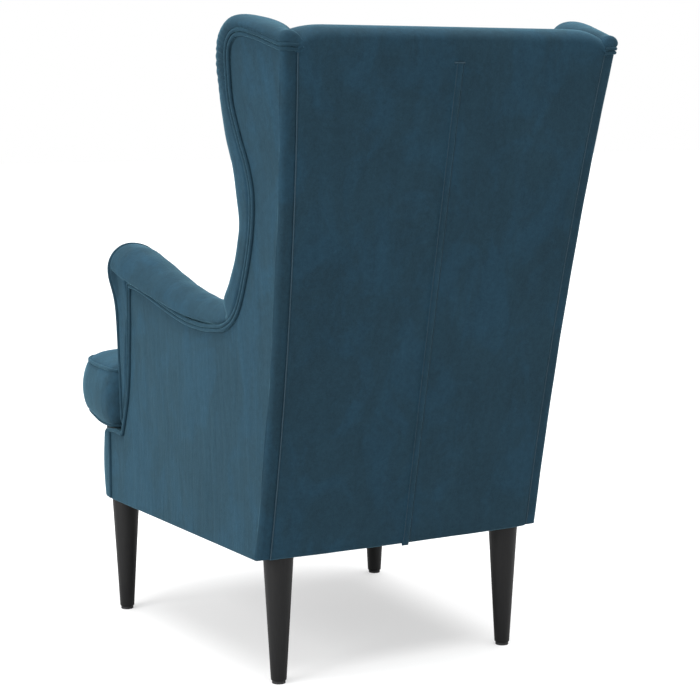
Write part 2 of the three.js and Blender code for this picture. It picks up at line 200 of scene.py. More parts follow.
def smooth(piece, angle=60):
    only(piece)
    bpy.ops.object.shade_smooth_by_angle(angle=math.radians(angle))
    return piece


def settle(piece, finish, body=CHAIR, stands_for=()):
    """Gives a piece its finish and its body."""
    piece.data.materials.clear()
    piece.data.materials.append(finish)
    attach(piece, body)
    if stands_for:
        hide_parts(*stands_for)
    return piece


def through(stations, count):
    """A smooth run of count + 1 stations through the given ones, even along their first two values."""
    points = [Vector(s) for s in stations]
    fine = []
    for i in range(len(points) - 1):
        p0, p1 = points[max(i - 1, 0)], points[i]
        p2, p3 = points[i + 1], points[min(i + 2, len(points) - 1)]
        for k in range(12):
            t = k / 12
            fine.append(0.5 * (2 * p1 + (p2 - p0) * t + (2 * p0 - 5 * p1 + 4 * p2 - p3) * t * t
                               + (3 * p1 - p0 - 3 * p2 + p3) * t ** 3))
    fine.append(points[-1])
    reach = [0.0]
    for a, b in zip(fine, fine[1:]):
        reach.append(reach[-1] + (Vector(b[:2]) - Vector(a[:2])).length)
    even, j = [], 0
    for i in range(count + 1):
        want = reach[-1] * i / count
        while j < len(fine) - 2 and reach[j + 1] < want:
            j += 1
        span = max(reach[j + 1] - reach[j], 1e-9)
        even.append(fine[j].lerp(fine[j + 1], (want - reach[j]) / span))
    return even


def tube(name, route, radius, sides=10, closed=False):
    """A round cord along a route of places, made as a bevelled curve and turned into a mesh."""
    deselect()
    curve = bpy.data.curves.new(name, "CURVE")
    curve.dimensions = "3D"
    curve.bevel_depth = radius
    curve.bevel_resolution = max(1, sides // 4)
    curve.use_fill_caps = not closed
    line = curve.splines.new("POLY")
    line.points.add(len(route) - 1)
    for point, place in zip(line.points, route):
        point.co = (*place, 1.0)
    line.use_cyclic_u = closed
    piece = bpy.data.objects.new(name, curve)
    scene.collection.objects.link(piece)
    only(piece)
    bpy.ops.object.convert(target="MESH")
    piece = bpy.context.object
    faced_out(piece)
    return smooth(piece, 80)


# ---- shader groups ----
def group_of(name, inputs, outputs):
    """A node group with named sockets, and the nodes that hold its inputs and outputs."""
    tree = bpy.data.node_groups.new(name, "ShaderNodeTree")
    for label, kind, value in inputs:
        socket = tree.interface.new_socket(label, in_out="INPUT", socket_type=f"NodeSocket{kind}")
        if value is not None:
            socket.default_value = value
    for label, kind in outputs:
        tree.interface.new_socket(label, in_out="OUTPUT", socket_type=f"NodeSocket{kind}")
    return tree, tree.nodes.new("NodeGroupInput"), tree.nodes.new("NodeGroupOutput")


def node(tree, kind, links=None, **settings):
    """A shader node with its settings and its inputs, which are values or other nodes' outputs."""
    made = tree.nodes.new(f"ShaderNode{kind}")
    for name, value in settings.items():
        setattr(made, name, value)
    for name, value in (links or {}).items():
        socket = made.inputs[name]
        if isinstance(value, bpy.types.NodeSocket):
            tree.links.new(value, socket)
        else:
            socket.default_value = value
    return made


def math_node(tree, operation, a, b=0.0, c=0.0):
    return node(tree, "Math", {0: a, 1: b, 2: c}, operation=operation).outputs[0]


def pile_group():
    """Velvet pile: broad brushed patches, short strokes and fine fibre, as a colour and a height."""
    tree, into, outof = group_of(
        "velvet_pile",
        [("Base", "Color", (0.03, 0.09, 0.14, 1)), ("Brushed", "Color", (0.03, 0.11, 0.2, 1)),
         ("Patch size", "Float", 13.0), ("Patch strength", "Float", 0.6)],
        [("Color", "Color"), ("Height", "Float"), ("Roughness", "Float")])
    place = node(tree, "TexCoord").outputs["Object"]
    drawn = node(tree, "Mapping", {"Vector": place, "Rotation": (0.5, 0.5, 0.3), "Scale": (1.0, 1.0, 0.62)})
    patch = node(tree, "TexNoise", {
        "Vector": drawn.outputs[0], "Scale": into.outputs["Patch size"], "Detail": 6.0, "Roughness": 0.62,
        "Distortion": 0.7}).outputs[0]
    patch = node(tree, "MapRange", {0: patch, 1: 0.44, 2: 0.62, 3: 0.0, 4: 1.0},
                 interpolation_type="SMOOTHSTEP").outputs[0]
    cloud = node(tree, "TexNoise", {"Vector": place, "Scale": 5.0, "Detail": 3.0}).outputs[0]
    streak_place = node(tree, "Mapping", {"Vector": place, "Scale": (1.0, 1.0, 0.16)}).outputs[0]
    streak = node(tree, "TexNoise", {
        "Vector": streak_place, "Scale": 46.0, "Detail": 4.0, "Roughness": 0.6,
        "Distortion": 0.4}).outputs[0]
    streak = node(tree, "MapRange", {0: streak, 1: 0.3, 2: 0.7, 3: -0.5, 4: 0.5}).outputs[0]
    mottle = node(tree, "TexNoise", {
        "Vector": place, "Scale": 120.0, "Detail": 4.0, "Roughness": 0.7}).outputs[0]
    fibre = node(tree, "TexNoise", {
        "Vector": place, "Scale": 1500.0, "Detail": 2.0, "Roughness": 0.7}).outputs[0]
    weave = node(tree, "TexNoise", {"Vector": place, "Scale": 420.0, "Detail": 1.0}).outputs[0]
    amount = math_node(tree, "MULTIPLY", patch, into.outputs["Patch strength"])
    colour = node(tree, "Mix", {0: amount, 6: into.outputs["Base"], 7: into.outputs["Brushed"]},
                  data_type="RGBA").outputs[2]
    light = math_node(tree, "MULTIPLY_ADD", streak, 0.16, 1.0)
    for effect, depth in ((cloud, 0.35), (mottle, 0.55), (weave, 0.3), (fibre, 0.5)):
        light = math_node(tree, "MULTIPLY_ADD", math_node(tree, "SUBTRACT", effect, 0.5), depth, light)
    colour = node(tree, "VectorMath", {0: colour, "Scale": light}, operation="SCALE").outputs[0]
    height = math_node(tree, "MULTIPLY_ADD", fibre, 0.5, math_node(tree, "MULTIPLY", weave, 0.7))
    height = math_node(tree, "MULTIPLY_ADD", streak, 1.2, height)
    rough = math_node(tree, "MULTIPLY_ADD", streak, 0.08, 0.86)
    tree.links.new(colour, outof.inputs["Color"])
    tree.links.new(height, outof.inputs["Height"])
    tree.links.new(rough, outof.inputs["Roughness"])
    return tree


def rub_group():
    """Slight polish and dust of handled surfaces: a mask that follows the edges and a slow noise."""
    tree, into, outof = group_of(
        "rub_and_dust", [("Scale", "Float", 30.0), ("Edge", "Float", 0.5)],
        [("Mask", "Float"), ("Dust", "Float")])
    place = node(tree, "TexCoord").outputs["Object"]
    cloud = node(tree, "TexNoise", {
        "Vector": place, "Scale": into.outputs["Scale"], "Detail": 5.0, "Roughness": 0.65}).outputs[0]
    pointed = node(tree, "NewGeometry").outputs["Pointiness"]
    edge = node(tree, "MapRange", {0: pointed, 1: 0.5, 2: 0.58, 3: 0.0, 4: 1.0}).outputs[0]
    edge = math_node(tree, "MULTIPLY", edge, into.outputs["Edge"])
    mask = math_node(tree, "MULTIPLY_ADD", cloud, 0.5, edge)
    dust = node(tree, "MapRange", {0: cloud, 1: 0.45, 2: 0.75, 3: 0.0, 4: 1.0}).outputs[0]
    tree.links.new(mask, outof.inputs["Mask"])
    tree.links.new(dust, outof.inputs["Dust"])
    return tree


def grain_group():
    """Wood grain along one axis of the mapping, as a mask and a height."""
    tree, into, outof = group_of(
        "wood_grain", [("Stretch", "Vector", (40.0, 40.0, 3.0)), ("Bands", "Float", 6.0)],
        [("Mask", "Float"), ("Height", "Float")])
    place = node(tree, "TexCoord").outputs["Object"]
    drawn = node(tree, "VectorMath", {0: place, 1: into.outputs["Stretch"]},
                 operation="MULTIPLY").outputs[0]
    wave = node(tree, "TexNoise", {
        "Vector": drawn, "Scale": into.outputs["Bands"], "Detail": 6.0, "Roughness": 0.6,
        "Distortion": 1.2}).outputs[0]
    pores = node(tree, "TexNoise", {"Vector": drawn, "Scale": 60.0, "Detail": 2.0}).outputs[0]
    mask = node(tree, "MapRange", {0: wave, 1: 0.3, 2: 0.7, 3: 0.0, 4: 1.0}).outputs[0]
    height = math_node(tree, "MULTIPLY_ADD", pores, 0.6, math_node(tree, "MULTIPLY", wave, 0.4))
    tree.links.new(mask, outof.inputs["Mask"])
    tree.links.new(height, outof.inputs["Height"])
    return tree


PILE, RUB, GRAIN = pile_group(), rub_group(), grain_group()


# ---- finishes ----
def finish_named(name, **constants):
    finish = bpy.data.materials.new(name)
    finish.use_nodes = True
    shader = finish.node_tree.nodes["Principled BSDF"]
    for label, value in constants.items():
        shader.inputs[label.replace("_", " ")].default_value = value
    return finish, finish.node_tree, shader


def placed(tree, inner, **values):
    made = tree.nodes.new("ShaderNodeGroup")
    made.node_tree = inner
    for label, value in values.items():
        made.inputs[label.replace("_", " ")].default_value = value
    return made


def bumped(tree, shader, height, distance, strength=1.0):
    bump = node(tree, "Bump", {"Height": height, "Distance": distance, "Strength": strength})
    tree.links.new(bump.outputs["Normal"], shader.inputs["Normal"])


def velvet(name, base, brushed, patch_size, patch_strength):
    finish, tree, shader = finish_named(
        name, Sheen_Weight=0.42, Sheen_Roughness=0.36, Sheen_Tint=(0.30, 0.66, 0.84, 1),
        Specular_IOR_Level=0.1)
    pile = placed(tree, PILE, Base=(*base, 1), Brushed=(*brushed, 1), Patch_size=patch_size,
                  Patch_strength=patch_strength)
    tree.links.new(pile.outputs["Color"], shader.inputs["Base Color"])
    tree.links.new(pile.outputs["Roughness"], shader.inputs["Roughness"])
    bumped(tree, shader, pile.outputs["Height"], 0.0006, 0.5)
    return finish


def plain_cloth(name, colour, weave=900.0, sheen=0.1):
    finish, tree, shader = finish_named(name, Roughness=0.9, Sheen_Weight=sheen, Specular_IOR_Level=0.15)
    place = node(tree, "TexCoord").outputs["Object"]
    threads = node(tree, "TexNoise", {"Vector": place, "Scale": weave, "Detail": 2.0}).outputs[0]
    cloud = node(tree, "TexNoise", {"Vector": place, "Scale": 12.0, "Detail": 3.0}).outputs[0]
    light = math_node(tree, "MULTIPLY_ADD", threads, 0.5, math_node(tree, "MULTIPLY_ADD", cloud, 0.3, 0.6))
    tone = node(tree, "VectorMath", {0: colour, "Scale": light}, operation="SCALE").outputs[0]
    tree.links.new(tone, shader.inputs["Base Color"])
    bumped(tree, shader, threads, 0.0004, 0.6)
    return finish


def toned(tree, shader, mask, dark, pale, wear, wear_share, roughness):
    """Two tones mixed by a mask, and a roughness that grows with wear."""
    tone = node(tree, "Mix", {0: mask, 6: (*dark, 1), 7: (*pale, 1)}, data_type="RGBA")
    tree.links.new(tone.outputs[2], shader.inputs["Base Color"])
    rough = math_node(tree, "MULTIPLY_ADD", wear, wear_share, roughness)
    tree.links.new(rough, shader.inputs["Roughness"])


def wood(name, dark, pale, stretch, roughness, coat=0.0):
    finish, tree, shader = finish_named(
        name, Coat_Weight=coat, Coat_Roughness=0.25, Specular_IOR_Level=0.3)
    grain = placed(tree, GRAIN, Stretch=stretch)
    rub = placed(tree, RUB, Scale=24.0)
    toned(tree, shader, grain.outputs["Mask"], dark, pale, rub.outputs["Mask"], 0.12, roughness)
    bumped(tree, shader, grain.outputs["Height"], 0.0003, 0.35)
    return finish


def handled(name, colour, dusty, roughness, rub_scale, wear_share, dents, **constants):
    """A hard finish whose tone turns dusty in places and whose roughness varies with handling."""
    finish, tree, shader = finish_named(name, **constants)
    rub = placed(tree, RUB, Scale=rub_scale)
    dust = [c * dusty for c in colour]
    toned(tree, shader, rub.outputs["Dust"], colour, dust, rub.outputs["Mask"], wear_share, roughness)
    bumped(tree, shader, rub.outputs["Mask"], 0.0002, dents)
    return finish


VELVET = velvet("petrol velvet", (0.0150, 0.0400, 0.0600), (0.0160, 0.0480, 0.0770), 13.0, 0.8)
WELT_VELVET = velvet("petrol velvet on the bias", (0.0155, 0.042, 0.063), (0.016, 0.048, 0.075), 20.0, 0.4)
THREAD = plain_cloth("petrol thread", (0.024, 0.056, 0.080), 2400.0, 0.15)
BLACK_WOOD = wood("black stained beech", (0.0025, 0.0025, 0.003), (0.006, 0.006, 0.0063),
                  (60.0, 60.0, 4.0), 0.42, 0.04)
BEECH = wood("planed beech", (0.38, 0.24, 0.13), (0.56, 0.40, 0.24), (3.0, 40.0, 40.0), 0.55)
PLY = wood("birch plywood", (0.50, 0.36, 0.21), (0.66, 0.52, 0.34), (30.0, 4.0, 3.0), 0.6)
ZINC = handled("zinc plated steel", (0.55, 0.56, 0.57), 0.7, 0.28, 160.0, 0.25, 0.2, Metallic=1.0)
NYLON = handled("black nylon", (0.02, 0.02, 0.022), 1.6, 0.45, 220.0, 0.2, 0.3)
WEBBING = plain_cloth("black webbing", (0.03, 0.03, 0.034), 1300.0)
DUST_CLOTH = plain_cloth("nonwoven dust cloth", (0.035, 0.035, 0.038), 500.0)
DECK_CLOTH = plain_cloth("petrol deck cloth", (0.035, 0.075, 0.10), 1100.0)

FINISHES = {
    "velvet": VELVET, "black_leg_wood": BLACK_WOOD, "glide_nylon": NYLON, "zinc_steel": ZINC,
    "beech_timber": BEECH, "plywood": PLY, "black_webbing": WEBBING, "dust_cloth": DUST_CLOTH,
    "deck_cloth": DECK_CLOTH,
}


def finish_cad_nodes():
    """Every carried-over node gets the finish of its slot."""
    for part in frame["record"]["subparts"]:
        cad = frame["nodes"][part["node"]]
        cad.data.materials.clear()
        cad.data.materials.append(FINISHES[part["material_slot"]])


# ---- edge of the wing and arm ----
# (y, z) of the welt, then (y, z) of the front of the roll, with y from the leg line
WING_EDGE = [
    (0.1862, 0.9890, 0.1866, 0.9920), (0.1852, 0.9892, 0.1858, 1.0020), (0.1800, 0.9900, 0.1800, 1.0090),
    (0.170, 0.9925, 0.1675, 1.0110), (0.150, 0.9990, 0.141, 1.0185), (0.130, 1.0055, 0.116, 1.0250),
    (0.101, 1.012, 0.084, 1.0325), (0.080, 1.012, 0.058, 1.0345), (0.063, 1.003, 0.034, 1.0210),
    (0.050, 0.986, 0.015, 0.998), (0.041, 0.955, 0.000, 0.964), (0.034, 0.907, -0.009, 0.911),
    (0.041, 0.856, -0.012, 0.856), (0.053, 0.812, -0.003, 0.806), (0.057, 0.772, -0.002, 0.760),
    (0.048, 0.724, -0.006, 0.716), (0.030, 0.676, -0.024, 0.672), (0.006, 0.626, -0.046, 0.634),
    (-0.013, 0.5955, -0.067, 0.606), (-0.034, 0.5755, -0.066, 0.590),
]
WING_END = [(-0.044, 0.5690, -0.066, 0.580), (-0.054, 0.5650, -0.069, 0.574)]
ARM_WELT = [
    (-0.062, 0.5625), (-0.084, 0.5590), (-0.126, 0.5560), (-0.178, 0.5585), (-0.232, 0.5680),
    (-0.290, 0.5830), (-0.347, 0.5970), (-0.380, 0.6010), (-0.3915, 0.5970), (-0.3965, 0.5790),
]
STRIP_WELT = [
    (-0.404, 0.528), (-0.411, 0.484), (-0.419, 0.423), (-0.427, 0.385), (-0.440, 0.346), (-0.4465, 0.330),
]


def on_side(y, z, side, proud=0.0):
    """A place on a side's outside face, at y from the leg line."""
    return Vector((side * (side_x(LEG_LINE + y, z) + proud), LEG_LINE + y, z))


# ---- outside cover of a side ----
# (y, z) on the welt, then the y on the hem or the z on the fold at the back, with y from the leg line
HEM_PAIRS = [
    (-0.4975, 0.3265, -0.4975), (-0.4720, 0.3265, -0.4720), (-0.4465, 0.3270, -0.4480),
    (-0.4400, 0.3460, -0.4400), (-0.4270, 0.3850, -0.4280), (-0.4110, 0.4840, -0.4110),
    (-0.3965, 0.5790, -0.3930), (-0.3900, 0.5960, -0.3800), (-0.3470, 0.5940, -0.3350),
    (-0.2900, 0.5830, -0.2750), (-0.2320, 0.5675, -0.2150), (-0.1780, 0.5580, -0.1580),
    (-0.1260, 0.5560, -0.1050), (-0.0840, 0.5590, -0.0600), (-0.0480, 0.5670, -0.0200),
    (-0.0170, 0.5900, 0.0180),
]
BACK_PAIRS = [
    (-0.017, 0.590, 0.206), (0.006, 0.626, 0.330), (0.030, 0.676, 0.460), (0.048, 0.724, 0.570),
    (0.057, 0.772, 0.680), (0.053, 0.812, 0.760), (0.041, 0.856, 0.830), (0.034, 0.907, 0.885),
    (0.041, 0.955, 0.930), (0.050, 0.986, 0.953), (0.063, 1.003, 0.964), (0.080, 1.012, 0.970),
    (0.101, 1.012, 0.974), (0.130, 1.0055, 0.978), (0.160, 0.9960, 0.983), (0.1735, 0.9915, 0.9905),
]
# (y, z) on the seam at the wing's edge, then the z at the back, for the inside of the wing
INNER_PAIRS = [
    (-0.066, 0.559, 0.540), (-0.030, 0.578, 0.575), (0.009, 0.624, 0.620), (0.031, 0.676, 0.670),
    (0.048, 0.724, 0.720), (0.057, 0.772, 0.770), (0.053, 0.812, 0.815), (0.041, 0.856, 0.860),
    (0.034, 0.907, 0.905), (0.040, 0.955, 0.940), (0.052, 0.985, 0.962), (0.080, 1.005, 0.975),
    (0.110, 1.008, 0.985),
]


def panel_place(side, y0, z0, y1, z1, t, welted):
    """A place on the side cover, t of the way from the welt to the hem or the fold."""
    y, z = mix(y0, y1, t), mix(z0, z1, t)
    away = t * math.hypot(y1 - y0, z1 - z0)
    tuck = -0.0022 * math.exp(-away / 0.009) if welted else 0.0
    place = on_side(y, z, side, 0.0)
    puff = soft(place, 0.16, 0.0016) + soft(place + Vector((0, 0, 5)), 0.05, 0.0005)
    place.x += side * (tuck + puff * ease(away / 0.03))
    return place


def side_panel(name, side):
    """The cover from the welt down to the hem and round the back edge to the rear seam."""
    steps = 26
    falls = [1 - (1 - k / steps) ** 1.35 for k in range(steps + 1)]
    hem_rows = through([(y0, z0, y1, HEM) for y0, z0, y1 in HEM_PAIRS], 70)
    rows = [[panel_place(side, *pair, t, pair[0] > -0.4465) for pair in hem_rows] for t in falls]
    for drop, turn in ((-0.0012, 0.0012), (-0.002, 0.004), (-0.0022, 0.014), (-0.0022, 0.026)):
        rows.append([on_side(y1, z1 + drop, side, -turn) for _, _, y1, z1 in hem_rows])
    lower = lay(f"side_panel_{name}", rows)

    back_pairs = [(y, z, back_y(low) - FOLD - LEG_LINE, low) for y, z, low in BACK_PAIRS]
    back_rows = through(back_pairs, 90)
    back_rows[0] = hem_rows[-1]
    rows = [[panel_place(side, *pair, t, True) for pair in back_rows] for t in falls]
    for k in range(1, 9):
        rows.append([fold_place(side, z1, math.pi / 2 * k / 8) for _, _, _, z1 in back_rows])
    for inward in (0.004, 0.008, 0.013, 0.020):
        rows.append([strip_place(side, z1, inward) for _, _, _, z1 in back_rows])
    upper = lay(f"side_panel_back_{name}", rows)
    only(lower)
    upper.select_set(True)
    bpy.ops.object.join()
    thickened(lower, CLOTH, Vector((side, 0, 0)))
    settle(smooth(lower), VELVET, stands_for=[f"side_panel_{name}"])


def fold_place(side, z, angle):
    """A place on the rounded back edge of a side cover."""
    centre_x = side_x(back_y(z) - FOLD, z) - FOLD
    reach = FOLD + soft(Vector((side * 3, 0, z)), 0.07, 0.0006)
    return Vector((side * (centre_x + reach * math.cos(angle)),
                   back_y(z) - 0.0015 - FOLD + reach * math.sin(angle), z))


def strip_place(side, z, inward):
    """A place on the strip between the back edge and the rear seam."""
    edge = side_x(back_y(z) - FOLD, z) - FOLD
    return Vector((side * (edge - inward), back_y(z) - 0.0016, z))


# ---- padded roll round the wing ----
def roll_section(y0, z0, y1, z1, side, overhang, narrow):
    """One section of the wing roll: out from the welt, round the nose and back along the inside."""
    along = Vector((y1 - y0, z1 - z0))
    reach = along.length
    along.normalize()
    start_y, start_z = y0 + LEG_LINE, z0

    def face(u, inner):
        y, z = start_y + along.x * u, start_z + along.y * u
        lip = min(1.0, max(0.0, u / 0.006))
        past_edge = min(FOLD * 0.98, max(0.0, y - (back_y(z) - FOLD)))
        turned_in = FOLD - math.sqrt(FOLD ** 2 - past_edge ** 2)
        outer = side_x(y, z) + overhang * math.sqrt(lip) - 0.002 - turned_in
        if not inner:
            return Vector((outer, y, z))
        inside = mix(inner_x(y, z), seam_x(min(z, 1.0)) - 0.006, narrow)
        return Vector((inside, y, z))

    half = (face(0.01, False).x - face(0.01, True).x) / 2
    nose = min(reach - 0.004, half)
    straight = [(reach - nose) * k / 9 for k in range(9)]
    section = [face(u, False) for u in straight]
    for k in range(23):
        angle = math.pi * k / 22
        u = reach - nose + nose * math.sin(angle) ** 0.92
        section.append(face(u, False).lerp(face(u, True), (1 - math.cos(angle)) / 2))
    section += [face(u, True) for u in reversed(straight[1:])]
    section.append(face(-0.012, True))
    section.append(face(-0.012, True).lerp(face(-0.012, False), 0.5))
    section.append(face(0.0, False) - Vector((0.008, 0, 0)))
    return [Vector((side * p.x, p.y, p.z)) for p in section]


def gathers(place, off_seam):
    """Small puckers where the cloth is eased round the tight top front curve of the wing."""
    along = math.atan2(place.z - 0.955, place.y - LEG_LINE - 0.110)
    strength = math.exp(-((place.z - 0.962) / 0.036) ** 2) * math.exp(-off_seam / 0.016)
    return 0.0026 * strength * math.sin(along * 50 + 2.5 * noise.noise(place / 0.018))


def wing_roll(name, side):
    stations = through(WING_EDGE + WING_END, 400)
    rows = []
    for y0, z0, y1, z1 in stations:
        narrow = ease((y0 - 0.100) / 0.070) if z0 > 0.95 else 0.0
        overhang = 0.0055 * ease((y0 + 0.060) / 0.06)
        rows.append(roll_section(y0, z0, y1, z1, side, overhang, narrow))
    piece = lay(f"wing_roll_{name}", capped(rows), around=True)
    seam_line = [Vector((y0 + LEG_LINE, z0)) for y0, z0, _, _ in stations if z0 > 0.88 and y0 < 0.1]
    for v in piece.data.vertices:
        lift = soft(v.co, 0.11, 0.0022) + soft(v.co, 0.04, 0.0006)
        if v.co.z > 0.88 and abs(v.co.x) > side_x(v.co.y, v.co.z) - 0.03:
            lift += gathers(v.co, min((v.co.yz - p).length for p in seam_line))
        v.co.x += side * lift
        v.co.y -= 0.5 * lift
    faced_out(piece)
    settle(smooth(piece, 70), VELVET, stands_for=[f"wing_roll_{name}"])


def inside_wing(name, side):
    """The cover on the inside of a wing, between its roll and the inside back."""
    pairs = [(y, z, back_y(low) - 0.030 - LEG_LINE, low + 0.02) for y, z, low in INNER_PAIRS]
    stations = through(pairs, 60)
    rows = []
    for k in range(15):
        row = []
        for y0, z0, y1, z1 in stations:
            y, z = LEG_LINE + mix(y0, y1, k / 14), mix(z0, z1, k / 14)
            place = Vector((0, y, z))
            row.append(Vector((side * (inner_x(y, z) + 0.0015 + soft(place, 0.09, 0.0012)), y, z)))
        rows.append(row)
    piece = lay(f"inside_wing_{name}", rows)
    thickened(piece, 0.006, Vector((-side, 0, 0)))
    settle(smooth(piece), VELVET, stands_for=[f"inside_wing_pad_{name}"])


# ---- padded arm: a scroll that narrows towards the back ----
ARM_FRONT = -0.4480
ARM_REAR = -0.030
ARM_STEPS = 44
# (y, z) of the top of the arm, with y from the leg line
ARM_TOPS = [
    (-0.4665, 0.658), (-0.440, 0.6605), (-0.412, 0.657), (-0.370, 0.646), (-0.300, 0.6265), (-0.240, 0.612),
    (-0.190, 0.6015), (-0.150, 0.595), (-0.110, 0.592), (-0.030, 0.590),
]
# (y, z) of the crease where the arm's roll turns under, from the front edge back
CREASE = [
    (-0.4700, 0.6200), (-0.4400, 0.6190), (-0.4220, 0.6120), (-0.4000, 0.6050), (-0.3710, 0.5975),
    (-0.3090, 0.5840), (-0.2400, 0.5700), (-0.1780, 0.5620), (-0.1270, 0.5590), (-0.0870, 0.5605),
    (-0.0570, 0.5650), (-0.0340, 0.5755), (-0.0130, 0.5955),
]


def arm_top(y):
    """The height of the top of the arm."""
    for (ya, za), (yb, zb) in zip(ARM_TOPS, ARM_TOPS[1:]):
        if ya <= y <= yb:
            return mix(za, zb, ease((y - ya) / (yb - ya)) * 0.3 + 0.7 * (y - ya) / (yb - ya))
    return ARM_TOPS[-1][1]


def crease_z(y):
    """The height of the crease under the arm's roll."""
    for (ya, za), (yb, zb) in zip(CREASE, CREASE[1:]):
        if ya <= y <= yb:
            return mix(za, zb, (y - ya) / (yb - ya))
    return CREASE[0][1]


def strip_welt_y(z):
    """Where the welt between the arm's front strip and the side cover lies at a height."""
    for (ya, za), (yb, zb) in zip(STRIP_WELT, STRIP_WELT[1:]):
        if zb <= z <= za:
            return mix(ya, yb, (z - za) / (zb - za))
    above_strip = -0.3945
    return above_strip if z > STRIP_WELT[0][1] else STRIP_WELT[-1][0]


def scroll_outline(y, side, shrink=0.0):
    """The closed outline of the arm across the chair at y: foot, outer side, scroll and inner side."""
    radius = mix(0.0405, 0.0330, ease((y + 0.43) / 0.30)) - shrink
    top = arm_top(y) - shrink
    centre_z = top - radius
    overhang = mix(0.0075, 0.0040, ease((y + 0.36) / 0.22))
    centre_x = side_x(LEG_LINE + y, centre_z) + overhang - shrink - radius
    widest = centre_x + radius
    flange = ease((-0.4300 - y) / 0.012)
    crease = crease_z(y)
    places = []
    low = DECK_TOP - 0.0015
    for k in range(ARM_STEPS):
        z = arm_height(k, low, centre_z)
        strip = ease((strip_welt_y(z) - 0.002 - y) / 0.006)
        surface = side_x(LEG_LINE + y, z) + mix(-UNDER_COVER, 0.0012, strip) - shrink
        drop = centre_z - z
        circle = centre_x + math.sqrt(max(0.0, radius ** 2 - drop ** 2)) if drop < radius else surface
        rolled = mix(surface, max(surface, circle), ease((z - crease + 0.003) / 0.006))
        edged = mix(surface, widest, math.exp(-(max(0.0, drop) / (0.85 * radius)) ** 2))
        x = mix(rolled, edged, flange)
        places.append(Vector((side * x, LEG_LINE + y, z)))
    for k in range(29):
        angle = math.pi * k / 28
        x = centre_x + radius * math.cos(angle)
        z = centre_z + radius * math.sin(angle)
        if angle > math.pi / 2:
            x = mix(centre_x, ARM_COVER_IN + shrink, -math.cos(angle))
        else:
            tucked = min(x, side_x(LEG_LINE + y, z) - UNDER_COVER)
            x = mix(tucked, x, max(flange, ease((z - crease + 0.003) / 0.006)))
        places.append(Vector((side * x, LEG_LINE + y, z)))
    for k in range(ARM_STEPS, -1, -1):
        z = arm_height(k, low, centre_z)
        pinch = 0.004 * math.sin(math.pi * k / ARM_STEPS)
        places.append(Vector((side * (ARM_COVER_IN + shrink + pinch), LEG_LINE + y, z)))
    return places


def arm_height(k, low, centre_z):
    """Height of step k up a side of the arm, with closer steps towards the roll."""
    return mix(low, centre_z, 1 - (1 - k / ARM_STEPS) ** 1.5)


def drawn_in(outline, share):
    """An arm outline drawn in towards its middle line, which closes the end of the arm."""
    places = []
    count = len(outline)
    centre = (outline[ARM_STEPS] + outline[count - 1 - ARM_STEPS]) / 2
    for k, place in enumerate(outline):
        on_side_wall = k < ARM_STEPS or k > count - 1 - ARM_STEPS
        middle = (place + outline[count - 1 - k]) / 2 if on_side_wall else centre
        places.append(place.lerp(middle, share))
    return places


def arm(name, side):
    """The arm's body, its facing at the front and the small welt round the facing."""
    depths = [ARM_REAR - 0.006 * k for k in range(57)]
    depths += [-0.3900 - 0.003 * k for k in range(20)]
    rows = [scroll_outline(y, side) for y in depths]
    rounded = ((0.0006, 0.0), (0.002, 0.002), (0.0045, 0.0035), (0.010, 0.0045), (0.018, 0.005))
    for inset, forward in rounded:
        edge = scroll_outline(ARM_FRONT + 0.004, side, inset)
        rows.append([p - Vector((0, forward, 0)) for p in edge])
    face = rows[-1]
    for share in (0.2, 0.45, 0.7, 0.9, 1.0):
        puff = Vector((0, 0.002 * share, 0))
        rows.append([p - puff for p in drawn_in(face, share)])
    rows = [drawn_in(rows[0], 1.0)] + rows
    piece = lay(f"arm_{name}", rows, around=True)
    for v in piece.data.vertices:
        if v.co.y > LEG_LINE + ARM_FRONT + 0.006:
            v.co.x += soft(v.co, 0.09, 0.0014)
            v.co.z += soft(v.co + Vector((3, 0, 0)), 0.08, 0.0016) * ease((v.co.z - 0.5) / 0.1)
    faced_out(piece)
    settle(smooth(piece, 55), VELVET,
           stands_for=[f"arm_roll_{name}", f"arm_facing_{name}", f"inside_arm_pad_{name}"])

    rim = [p - Vector((0, 0.0002, 0)) for p in scroll_outline(ARM_FRONT + 0.003, side, 0.0002)]
    lip = tube(f"arm_facing_welt_{name}", rim, 0.0034, closed=True)
    settle(lip, WELT_VELVET)


# ---- double welt along the side cover ----
def welt_end(side, z):
    """The last stretch of a side welt: round the back edge and in to the rear seam."""
    places = []
    for k in range(1, 9):
        corner = fold_place(side, z, math.pi / 2 * k / 8)
        places.append(corner + Vector((side * 0.001 * (1 - k / 8), 0.001 * k / 8, 0)))
    edge = side_x(back_y(z) - FOLD, z) - FOLD
    for inward in (0.004, 0.008, 0.012, 0.016):
        places.append(Vector((side * (edge - inward), back_y(z) - 0.0006, z - 0.06 * inward)))
    return places


def side_welts(name, side):
    """Two cords side by side that cover the seam between a side cover and the roll."""
    seam = [(y0, z0) for y0, z0, _, _ in WING_EDGE if y0 < 0.165]
    line = through([(0.1735, 0.9915)] + seam + ARM_WELT + STRIP_WELT, 320)
    for label, place_in_pair in (("outer", 0.15), ("inner", 1.15)):
        route = []
        for i, (y, z) in enumerate(line):
            before, after = line[max(i - 1, 0)], line[min(i + 1, len(line) - 1)]
            along = (after - before).normalized()
            across = Vector((-along.y, along.x))
            gap = WELT_APART * place_in_pair * mix(0.35, 1.0, ease((len(line) - 1 - i) / 40))
            route.append(on_side(y + across.x * gap, z + across.y * gap, side, 0.0012))
        rear_z = route[0].z
        kept = [p for p in route if p.y < back_y(p.z) - FOLD - 0.001 or p.z < 0.9]
        route = welt_end(side, rear_z - 0.0015)[::-1] + kept
        settle(tube(f"side_welt_{label}_{name}", route, WELT, 12), WELT_VELVET)


